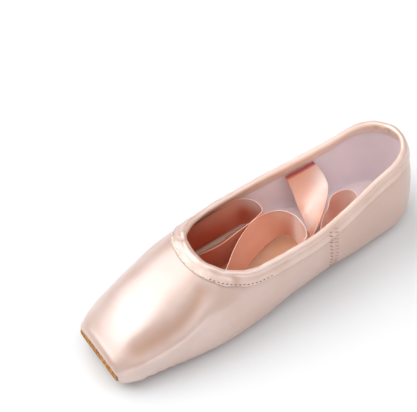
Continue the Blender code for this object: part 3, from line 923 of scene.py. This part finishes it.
@dataclass
class Casing:
    """The drawstring casing round the top line, with its gathers, and the lower edge that its
    stitching follows.
    """

    measures: Measures
    palette: Palette
    levels: int = 2
    gather: float = 0.0006
    deepest: float = -0.0003
    middle: Place = (0.0, 0.030, 0.030)
    rolls: Rows = ((0.00040, 0.0074, 0.0013), (-0.00022, 0.0052, 0.0011))
    wrinkles: float = 110.0
    front_to: float = 0.33
    back_from: float = 0.88
    deep: float = 0.0009
    tucks: tuple[Fold, ...] = (
        Fold(((-0.0172, -0.0340, 0.0500), (-0.0180, -0.0425, 0.0500)), 0.0010, 0.0016, 0.6),
        Fold(((-0.0135, -0.0365, 0.0510), (-0.0130, -0.0440, 0.0505)), -0.0008, 0.0018, 0.6),
        Fold(((0.0175, -0.0375, 0.0495), (0.0262, -0.0320, 0.0475)), -0.0006, 0.0018, 0.6),
        Fold(((-0.0100, 0.1065, 0.0575), (-0.0102, 0.1075, 0.0500)), 0.0009, 0.0014, 0.3),
        Fold(((-0.0062, 0.1080, 0.0575), (-0.0066, 0.1090, 0.0500)), -0.0008, 0.0014, 0.3),
        Fold(((-0.0145, 0.1035, 0.0575), (-0.0142, 0.1045, 0.0510)), -0.0006, 0.0014, 0.3),
    )

    def build(self, node: Object) -> Object:
        """Makes the casing.

        Args:
            node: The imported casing.
        Returns:
            The finished piece.
        """
        piece = working_copy(node, "casing_satin")
        piece.data.materials.append(self.palette.casing.material())
        self.edge, self.rise = self.lower_edge(piece.data)
        finer(piece, self.levels)
        self.shape(piece.data)
        settle(piece, "satin", "casing")
        return piece

    def lower_edge(self, mesh: Mesh) -> tuple[Array, Array]:
        """The outermost hard edge of the casing, as a closed line.

        Args:
            mesh: The coarse casing.
        Returns:
            Its places in order, and the way from each up the casing's outer face.
        """
        shape = bmesh.new()
        shape.from_mesh(mesh)
        hard = {e: e.verts for e in shape.edges if e.calc_face_angle(0) > math.radians(50)}
        loops = []
        while hard:
            line = list(hard.pop(next(iter(hard))))
            while True:
                following = [e for e in line[-1].link_edges if e in hard]
                if not following:
                    break
                del hard[following[0]]
                line.append(following[0].other_vert(line[-1]))
            loops.append(line)
        whole = [line for line in loops if len(line) > 50]
        outermost = max(whole, key=lambda line: np.ptp([v.co.x for v in line]))
        ways = [self.up_from(corner, set(outermost)) for corner in outermost]
        points = np.array([v.co[:] for v in outermost])
        shape.free()
        return points, np.array(ways)

    def up_from(self, corner: bmesh.types.BMVert, line: set[bmesh.types.BMVert]) -> Vector:
        """The way from a corner of the lower edge up the casing's outer face."""
        ways = [e.other_vert(corner).co - corner.co for e in corner.link_edges]
        beyond = [e.other_vert(corner) not in line for e in corner.link_edges]
        off_line = (way for way, off in zip(ways, beyond) if off)
        return max(off_line, key=lambda way: way.length).normalized()

    def shape(self, mesh: Mesh) -> None:
        """Moves the casing's points into its rolled rim, its wrinkles and its tucks, and notes
        painted shade for its hollows and a painted glow for its inner face.
        """
        points, out = places(mesh), normals(mesh)
        share = self.measures.share(points[:, 1])
        front = 1 - eased((share - self.front_to) / 0.16)
        back = eased((share - self.back_from) / 0.09)
        outer = eased(((points - np.array(self.middle)) * out).sum(axis=1) / 0.006)
        depth = line_distance(points, np.concatenate([self.edge, self.edge[:1]]))[0]
        roll = sum(rise * np.exp(-(((depth - at) / wide) ** 2)) for rise, at, wide in self.rolls)
        wrinkles = clouds(points * np.array([1.0, 1.6, 1.0]), self.wrinkles, 4.0)
        lift = roll * outer + self.gather * wrinkles * (0.3 + front + 0.7 * back)
        for tuck in self.tucks:
            lift += tuck.offset(points, np.array(tuck.rows))
        # Painted shade: the casing's sink below its surface, for darkening its hollows.
        keep_number(mesh, "hollow_shade", np.clip(-lift / self.deep, 0, 1))
        lift = np.maximum(lift, self.deepest)
        # Painted glow: marks the casing's inner face, more strongly towards the heel, where the
        # satin takes a lighter, warmer colour.
        keep_number(mesh, "inner", (1 - outer) * (0.45 + 0.55 * eased((share - 0.5) / 0.2)))
        move_to(mesh, points + out * lift[:, None])


@dataclass(frozen=True)
class Nudge:
    """A smooth shift of a ribbon's edges round one place along it, in millimetres."""

    at: float
    reach: float
    upper: Place
    lower: Place


@dataclass(frozen=True)
class Tone:
    """A soft patch of painted highlight, or of painted shade, on a ribbon.

    It lies at millimetres along and at a share across, with its reach in both, and its strength is
    above 0 for a painted highlight and below 0 for painted shade.
    """

    at: float
    across: float
    reach: float
    spread: float
    strength: float

    def weight(self, along: Array, across: Array) -> Array:
        """The patch's strength at places along, in metres, and across, from 0 to 1."""
        far = ((along * 1000 - self.at) / self.reach) ** 2
        return self.strength * np.exp(-far - ((across - self.across) / self.spread) ** 2)


@dataclass
class Ribbon:
    """One ribbon, from its loose end under the toe to its sewn end."""

    palette: Palette
    node_name: str
    name: str
    nudges: tuple[Nudge, ...]
    tones: tuple[Tone, ...]
    fall: tuple[tuple[Place, Place], ...] = ()
    fall_from: int = 0
    # How long the painted shadow at the sewn end is.
    tuck: float = 0.0
    width: float = 0.022
    thickness: float = 0.00038
    steps: int = 360
    threads: int = 10
    camber: float = 0.0004

    def build(self, node: Object) -> Object:
        """Makes the ribbon.

        Args:
            node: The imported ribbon.
        Returns:
            The finished piece.
        """
        upper, lower = self.edges(node)
        share = np.linspace(0, 1, len(upper))
        for nudge in self.nudges:
            near = np.exp(-(((share - nudge.at) / nudge.reach) ** 2))[:, None]
            upper = upper + near * np.array(nudge.upper) / 1000
            lower = lower + near * np.array(nudge.lower) / 1000
        if self.fall:
            rows = np.array(self.fall) / 1000
            upper = np.concatenate([upper[: self.fall_from], rows[:, 0]])
            lower = np.concatenate([lower[: self.fall_from], rows[:, 1]])
        piece = self.strip(self.flowing(upper), self.flowing(lower))
        settle(piece, "ribbon_satin", self.node_name)
        return piece

    def edges(self, node: Object) -> tuple[Array, Array]:
        """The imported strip's upper and lower edge, from its loose end.

        Args:
            node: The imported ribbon.
        Returns:
            The places along its upper and its lower edge.
        """
        shape = bmesh.new()
        shape.from_mesh(node.data)
        bmesh.ops.remove_doubles(shape, verts=shape.verts, dist=0.000002)
        ring = self.end_of(shape)
        seen, upper, lower = set(ring), [], []
        while ring:
            pairs = self.paired([np.array(v.co) for v in ring])
            if upper:
                pairs.sort(key=lambda place: np.linalg.norm(place - upper[-1]))
            else:
                pairs.sort(key=lambda place: -place[2])
            upper.append(pairs[0])
            lower.append(pairs[1])
            ring = {e.other_vert(v) for v in ring for e in v.link_edges} - seen
            seen |= ring
        shape.free()
        return np.array(upper), np.array(lower)

    def end_of(self, shape: bmesh.types.BMesh) -> set[bmesh.types.BMVert]:
        """The four corners of the strip's end that lies nearer to the toe."""
        ends = []
        for edge in shape.edges:
            ring = {v for face in edge.link_faces for v in face.verts}
            beyond = {e.other_vert(v) for v in ring for e in v.link_edges} - ring
            if len(ring) == 4 and len(beyond) == 4:
                ends.append(ring)
        return min(ends, key=lambda ring: min(v.co.y for v in ring))

    def paired(self, ring: list[Array]) -> list[Array]:
        """The middles of a ring's two short sides."""
        gaps = [float(np.linalg.norm(place - ring[0])) for place in ring[1:]]
        mate = 1 + gaps.index(min(gaps))
        others = [place for i, place in enumerate(ring) if i not in (0, mate)]
        return [(ring[0] + ring[mate]) / 2, (others[0] + others[1]) / 2]

    def flowing(self, line: Array) -> Array:
        """A line as a smooth curve of this ribbon's steps."""
        ends = np.concatenate([[2 * line[0] - line[1]], line, [2 * line[-1] - line[-2]]])
        stops = np.linspace(0, len(line) - 1, self.steps)
        i = np.minimum(stops.astype(int), len(line) - 2)
        t = (stops - i)[:, None]
        a, b, c, d = ends[i], ends[i + 1], ends[i + 2], ends[i + 3]
        bend = 2 * a - 5 * b + 4 * c - d
        return 0.5 * (2 * b + (c - a) * t + bend * t**2 + (3 * b - a - 3 * c + d) * t**3)

    def strip(self, upper: Array, lower: Array) -> Object:
        """A thin closed strip between two curves.

        Args:
            upper: The upper edge.
            lower: The lower edge.
        Returns:
            The strip, with numbers that say how far along and across each point lies and where its
            painted highlights, painted shade and painted shadow fall.
        """
        middle = (upper + lower) / 2
        face = np.cross(upper - lower, np.gradient(middle, axis=0))
        face /= np.linalg.norm(face, axis=1, keepdims=True)
        arc = arc_of(middle)
        self.length = float(arc[-1])
        shares = np.linspace(0, 1, self.threads + 1)
        bow = self.camber * (1 - (2 * shares - 1) ** 2)
        plain = lower[:, None] + (upper - lower)[:, None] * shares[None, :, None]
        plain = plain + face[:, None] * bow[None, :, None]
        half = face[:, None] * self.thickness / 2
        rings = np.concatenate([plain + half, (plain - half)[:, ::-1]], axis=1)
        count = rings.shape[1]
        corners = []
        for i in range(self.steps - 1):
            for j in range(count):
                here, ahead = i * count, (i + 1) * count
                k = (j + 1) % count
                corners.append([here + j, here + k, ahead + k, ahead + j])
        for i in (0, self.steps - 1):
            for j in range(self.threads):
                far = count - 1 - j
                corners.append([i * count + n for n in (j, j + 1, far - 1, far)])
        piece = piece_of(self.name, rings.reshape(-1, 3).tolist(), corners, self.palette.ribbon)
        mesh = piece.data
        edit_all()
        bpy.ops.mesh.normals_make_consistent(inside=False)
        bpy.ops.object.mode_set(mode="OBJECT")
        bpy.ops.object.shade_smooth_by_angle(angle=math.radians(50))
        along = np.repeat(arc, count)
        across = np.tile(np.concatenate([shares, shares[::-1]]), self.steps)
        keep_number(mesh, "along", along)
        keep_number(mesh, "across", across * self.width)
        weights = [tone.weight(along, across) for tone in self.tones]
        # Painted highlights where the tones are above 0.
        keep_number(mesh, "painted_highlight", np.clip(sum(np.maximum(w, 0) for w in weights), 0, 1))
        # Painted shade where the tones are below 0: the deep red of the ribbons' shadowed folds.
        keep_number(mesh, "depth", np.clip(sum(np.maximum(-w, 0) for w in weights), 0, 1))
        # Painted shadow: the ribbon's last millimetres, under the casing's edge, turn deep red.
        end_shadow = eased((arc - (self.length - self.tuck)) / 0.0006) if self.tuck else arc * 0
        keep_number(mesh, "tuck", np.repeat(end_shadow, count))
        return piece


FAR_NUDGES = (
    Nudge(0.08, 0.05, (-0.5, 0.0, 2.5), (-0.5, 0.0, 0.5)),
    Nudge(0.18, 0.05, (4.2, 3.0, -1.0), (4.2, 3.0, 0.0)),
    Nudge(0.26, 0.05, (3.0, -1.0, -1.5), (3.0, -1.0, 0.0)),
    Nudge(0.56, 0.055, (0.0, 0.0, 0.0), (6.0, 3.0, 0.8)),
    Nudge(0.69, 0.035, (1.8, 3.4, 0.0), (0.0, 0.5, 0.0)),
)
FAR_FALL = (
    ((19.5, 30.3, 34.5), (17.5, 30.6, 14.2)),
    ((16.0, 35.0, 33.0), (11.5, 34.6, 14.2)),
    ((11.0, 41.5, 31.5), (4.0, 38.3, 14.5)),
    ((4.5, 49.0, 29.6), (-3.5, 41.2, 15.0)),
    ((-2.5, 56.4, 27.8), (-9.0, 42.2, 17.6)),
    ((-9.5, 62.8, 26.0), (-13.5, 42.6, 21.0)),
    ((-15.0, 66.6, 26.4), (-17.5, 43.3, 24.1)),
    ((-20.0, 67.4, 29.9), (-21.5, 44.0, 27.8)),
    ((-23.8, 66.2, 34.8), (-25.4, 44.1, 32.4)),
    ((-26.0, 63.8, 39.6), (-27.6, 43.2, 37.4)),
)
NEAR_NUDGES = (
    Nudge(0.51, 0.025, (-1.2, -0.8, 0.0), (-1.2, -0.8, 0.0)),
    Nudge(0.57, 0.030, (2.5, 0.3, -0.5), (2.5, 0.3, 0.0)),
    Nudge(0.86, 0.060, (2.0, 1.0, 0.3), (3.0, 1.0, 0.0)),
)
# Painted highlights (strength above 0) and painted shade (below 0) along each ribbon.
FAR_TONES = (
    Tone(10, 0.5, 22, 2.0, -0.9),
    Tone(38, 0.1, 22, 0.6, -0.8),
    Tone(58, 0.40, 6, 0.40, -0.6),
    Tone(63, 0.92, 8, 0.45, 1.0),
    Tone(130, 0.4, 32, 1.5, -1.0),
    Tone(251, 0.90, 5, 0.30, 0.5),
    Tone(262, 0.75, 3.5, 0.70, 1.0),
    Tone(267, 0.60, 9, 0.90, 0.75),
    Tone(280, 0.75, 5, 0.80, 1.0),
    Tone(316, 0.30, 8, 0.50, 0.8),
    Tone(328, 0.70, 8, 0.40, 0.8),
    Tone(340, 1.00, 10, 0.35, 0.9),
)
NEAR_TONES = (
    Tone(55, 0.5, 45, 2.0, -0.9),
    Tone(170, 0.95, 12, 0.30, 0.4),
    Tone(190, 0.60, 8, 0.90, 0.95),
    Tone(206, 0.8, 10, 0.60, 0.6),
)


@dataclass
class Soles:
    """The insole, the outsole and the suede tip."""

    palette: Palette
    suede: float = 0.0006
    glue: float = 0.0003
    shrink: Place = (0.93, 1.0, 0.84)
    drop: Place = (0.0, 0.0, 0.0008)

    def build(self, nodes: dict[str, Object]) -> list[Object]:
        """Makes the three plates.

        Args:
            nodes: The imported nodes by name.
        Returns:
            The finished pieces.
        """
        insole, outsole, tip = (
            self.plate(nodes[node], name, finish, slot)
            for node, name, finish, slot in (
                ("insole", "insole_cloth", self.palette.insole, "insole_cloth"),
                ("outsole", "outsole_leather", self.palette.leather, "sole_leather"),
                ("toe_tip", "suede_tip", self.palette.suede, "suede"),
            )
        )
        self.lay(tip.data, surface_of(nodes["upper"].data))
        return [insole, outsole, tip]

    def lay(self, tip: Mesh, toe: BVHTree) -> None:
        """Lays the suede on the toe as a thin strip."""
        points = places(tip)
        inner, outer = points[:, 1].max(), points[:, 1].min()
        depth = (inner - points[:, 1]) / (inner - outer)
        middle = (points.max(axis=0) + points.min(axis=0)) / 2
        points = middle + (points - middle) * np.array(self.shrink) - self.drop
        for point, share in zip(points, depth):
            start = Vector((point[0], outer - 0.010, point[2]))
            behind = toe.ray_cast(start, Vector((0, 1, 0)))[0].y
            point[1] = behind - self.glue - share * self.suede
        move_to(tip, points)

    def plate(self, node: Object, name: str, finish: Finish, slot: str) -> Object:
        """One plate.

        Args:
            node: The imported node.
            name: The piece's name.
            finish: Its finish.
            slot: The record's material slot.
        Returns:
            The finished piece.
        """
        piece = working_copy(node, name)
        piece.data.materials.append(finish.material())
        finer(piece, 2, 75.0)
        settle(piece, slot, node.name)
        return piece


@dataclass
class Stitching:
    """Rows of thread and needle holes on the satin."""

    measures: Measures
    palette: Palette
    lining_row: Rows = (
        (-0.0302, -0.0030, 0.0088), (-0.0302, 0.0045, 0.0096), (-0.0298, 0.0130, 0.0106)
    )
    thread_to: float = 0.305
    dashes_to: float = 0.46
    seam_pitch: float = 0.0027
    seam_heights: tuple[float, float, int] = (0.0440, 0.0085, 16)
    lining_bead: Place = (0.0013, 0.0006, 0.0003)
    thread_bead: Place = (0.0023, 0.00070, 0.0009)
    dash_bead: Place = (0.0016, 0.00055, 0.00026)
    dark_bead: Place = (0.0040, 0.00085, 0.0004)
    pale_bead: Place = (0.0040, 0.00095, 0.0006)

    def bead(self) -> tuple[Array, list[tuple[int, ...]]]:
        """A unit bead that every stitch is a copy of.

        Returns:
            Its points and its faces.
        """
        deselect()
        bpy.ops.mesh.primitive_uv_sphere_add(segments=8, ring_count=5, radius=0.5)
        bead = bpy.context.object
        edit_all()
        bpy.ops.transform.rotate(value=math.pi / 2, orient_axis="Y", center_override=(0, 0, 0))
        bpy.ops.object.mode_set(mode="OBJECT")
        points = places(bead.data)
        faces = [tuple(face.vertices) for face in bead.data.polygons]
        bpy.data.objects.remove(bead, do_unlink=True)
        return points, faces

    def row(self, name: str, spots: list[Spot], size: Place, finish: Plain) -> Object:
        """A row of beads as one piece.

        Args:
            name: The piece's name.
            spots: The centre, way and normal of each bead.
            size: Each bead's length, width and height.
            finish: Its finish.
        Returns:
            The finished piece.
        """
        points, faces = self.bead()
        rows, corners = [], []
        for centre, way, out in spots:
            way = (way - out * way.dot(out)).normalized()
            turn = Matrix((way, out.cross(way), out)).transposed()
            corners += [tuple(i + len(rows) * len(points) for i in face) for face in faces]
            rows.append((points * size) @ np.array(turn).T + np.array(centre))
        piece = piece_of(name, np.concatenate(rows).tolist(), corners, finish)
        bpy.ops.object.shade_smooth()
        settle(piece, "satin")
        return piece

    def along(self, line: Array, pitch: float, tree: BVHTree) -> list[Spot]:
        """Even places along a line, put on a surface.

        Args:
            line: The line's corners.
            pitch: The distance between places.
            tree: The surface.
        Returns:
            The centre, way and normal of each.
        """
        arc = arc_of(line)
        count = max(int(arc[-1] / pitch), 1)
        stops = (np.arange(count) + 0.25) * arc[-1] / count
        centres = np.stack([np.interp(stops, arc, c) for c in line.T], axis=1)
        ahead = np.stack([np.interp(stops + pitch / 2, arc, c) for c in line.T], axis=1)
        found = []
        for centre, following in zip(centres, ahead):
            place, out, _, _ = tree.find_nearest(Vector(centre))
            found.append((place, Vector(following - centre), out))
        return found

    def build(self, upper: Object, casing: Object, seam: Array) -> None:
        """Sews the casing and both side seams.

        Args:
            upper: The finished upper.
            casing: The finished casing.
            seam: The line just above the casing's lower edge.
        """
        self.sew_casing(surface_of(casing.data), surface_of(upper.data), seam)
        self.sew_sides(surface_of(upper.data, casing.data))

    def sew_casing(self, band: BVHTree, lining: BVHTree, seam: Array) -> None:
        """Sews the casing's lower edge: plain thread in front, needle holes that fade behind, drawn
        as dark beads whose dark is painted shade.
        """
        line = np.concatenate([seam, seam[:1]])
        front, dashes = [], []
        for i, (place, way, out) in enumerate(self.along(line, 0.0018, band)):
            lean = math.radians(40 if i % 2 else -40)
            if float(self.measures.share(place.y)) < self.thread_to:
                front.append((place, Matrix.Rotation(lean, 3, out) @ way, out))
        for place, way, out in self.along(line, 0.0026, band):
            if self.thread_to <= float(self.measures.share(place.y)) < self.dashes_to:
                dashes.append((place, way, out))
        inside = self.along(np.array(self.lining_row), 0.0016, lining)
        self.row("lining_stitches", inside, self.lining_bead, self.palette.red)
        self.row("casing_thread", front, self.thread_bead, self.palette.thread)
        # The needle holes are dark beads: painted shade of the holes.
        self.row("casing_dashes", dashes, self.dash_bead, self.palette.hole)

    def sew_sides(self, skin: BVHTree) -> None:
        """Sews the slanted stitches of the side seams."""
        dark, pale = [], []
        for side in Side:
            for shift, rows, lean in ((-0.0018, dark, 44), (0.0026, pale, 60)):
                seam = self.side_seam(side, shift, skin)
                for i, (place, way, out) in enumerate(self.along(seam, self.seam_pitch, skin)):
                    turn = math.radians((lean + 9 * math.sin(2.4 * i)) * side.value)
                    rows.append((place, Matrix.Rotation(turn, 3, out) @ way, out))
        # The dark row's colour is painted shade of the sunken stitches.
        self.row("seam_stitches", dark, self.dark_bead, self.palette.mauve)
        self.row("seam_thread", pale, self.pale_bead, self.palette.rose)

    def side_seam(self, side: Side, shift: float, skin: BVHTree) -> Array:
        """The line of one row of a side seam, from the rim down to the feather edge."""
        points = []
        for height in np.linspace(*self.seam_heights):
            start = Vector((side.value * 0.08, self.measures.seam_at(height) + shift, height))
            place = skin.ray_cast(start, Vector((-side.value, 0, 0)))[0]
            if place is not None:
                points.append(place[:])
        return np.array(points)


@dataclass(frozen=True)
class Lamp:
    """A soft lamp: its place, its width and height in metres, and its power in watts.

    A lamp that isn't mirrored lights the shoe but isn't seen in its gloss.
    """

    name: str
    place: Place
    size: tuple[float, float]
    power: float
    mirrored: bool = True

    def hang(self) -> None:
        """Hangs the lamp and turns it to the shoe."""
        lamp = bpy.data.lights.new(self.name, "AREA")
        lamp.shape = "RECTANGLE"
        lamp.size, lamp.size_y = self.size
        lamp.energy = self.power
        holder = linked(self.name, lamp)
        holder.location = self.place
        holder.visible_glossy = self.mirrored
        holder.rotation_euler = (-Vector(self.place)).to_track_quat("-Z", "Y").to_euler()


@dataclass
class Studio:
    """The floor, the lights and the camera."""

    palette: Palette
    eye: Place = (0.44442, -0.26399, 0.63270)
    right: Place = (0.54496, 0.83438, -0.08259)
    up: Place = (-0.58964, 0.45141, 0.66974)
    lens: float = 112.36
    floor_size: float = 6.0
    lamps: tuple[Lamp, ...] = (
        Lamp("key", (-0.80, -0.35, 1.05), (2.0, 1.1), 16.5),
        Lamp("top", (0.05, 0.15, 1.50), (1.1, 1.1), 4.5),
        Lamp("front", (-0.50, -0.90, 1.20), (1.0, 0.9), 4.5),
        Lamp("fill", (0.70, 1.05, 1.20), (1.6, 1.4), 8.5),
        Lamp("side", (1.40, -0.55, 0.15), (2.2, 0.28), 4.0),
        Lamp("room", (0.90, -0.50, 1.15), (1.6, 1.6), 8.0, False),
    )
    sky: float = 0.27

    def build(self) -> None:
        """Sets the scene round the shoe."""
        self.lay_floor()
        self.place_camera()
        for lamp in self.lamps:
            lamp.hang()
        world = bpy.data.worlds.new("studio")
        world.use_nodes = True
        background = world.node_tree.nodes["Background"].inputs
        background["Color"].default_value = (1, 1, 1, 1)
        background["Strength"].default_value = self.sky
        bpy.context.scene.world = world
        bpy.context.scene.view_settings.view_transform = "Standard"

    def lay_floor(self) -> None:
        """The pale floor."""
        deselect()
        bpy.ops.mesh.primitive_plane_add(size=self.floor_size, location=(0, 0, 0))
        floor = bpy.context.object
        floor.name = "floor"
        floor.data.materials.append(self.palette.floor.material())
        floor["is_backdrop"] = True

    def place_camera(self) -> None:
        """The camera, at the photograph's angle to the shoe."""
        lens = bpy.data.cameras.new("camera")
        lens.lens = self.lens
        lens.sensor_width = 36.0
        lens.clip_start = 0.01
        camera = linked("camera", lens)
        right, up = Vector(self.right).normalized(), Vector(self.up).normalized()
        turn = Matrix((right, up, right.cross(up))).transposed().to_4x4()
        camera.matrix_world = Matrix.Translation(self.eye) @ turn
        bpy.context.scene.camera = camera


def corners() -> list[list[float]]:
    """The model's lowest and highest corners as plain numbers."""
    return [list(map(float, corner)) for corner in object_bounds()]


def main() -> None:
    """Builds every part of the shoe and the studio in order."""
    logging.basicConfig(level=logging.INFO, format="%(message)s")
    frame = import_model()
    nodes = frame["nodes"]
    palette, measures = Palette(), Measures()
    Studio(palette).build()
    tip = Soles(palette).build(nodes)[2]
    upper = Upper(measures, palette).build(nodes["upper"], places(tip.data))
    band = Casing(measures, palette)
    casing = band.build(nodes["casing"])
    far = Ribbon(
        palette, "ribbon_far", "ribbon_far_satin", FAR_NUDGES, FAR_TONES, FAR_FALL, 63, 0.0026
    )
    far.build(nodes["ribbon_far"])
    near = Ribbon(palette, "ribbon_near", "ribbon_near_satin", NEAR_NUDGES, NEAR_TONES)
    near.build(nodes["ribbon_near"])
    seam = band.edge + band.rise * 0.0012
    Stitching(measures, palette).build(upper, casing, seam)


if __name__ == "__main__":
    main()
